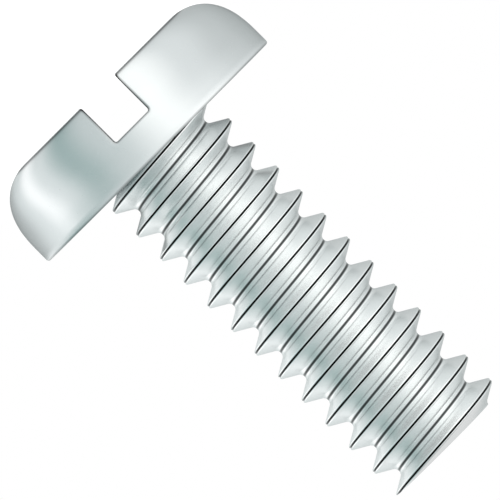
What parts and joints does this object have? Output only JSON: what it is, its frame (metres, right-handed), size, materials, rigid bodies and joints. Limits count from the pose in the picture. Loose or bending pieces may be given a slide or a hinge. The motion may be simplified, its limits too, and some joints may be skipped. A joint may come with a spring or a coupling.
{
  "type": "pan head machine screw",
  "caption": "Slotted pan head machine screw, threaded right up to the head, with a flat plain end.",
  "frame": {"origin": "centre of the flat top of the head, which the screw stands on", "axes": "+Z along the shank from the head to the plain end; the driver slot runs along Y"},
  "size_m": [0.006, 0.006, 0.0095],
  "materials": {
    "bright_zinc": "bright zinc plate over steel, satin to bright"
  },
  "bodies": {
    "root": {"screw": "bright_zinc"}
  },
  "joints": []
}
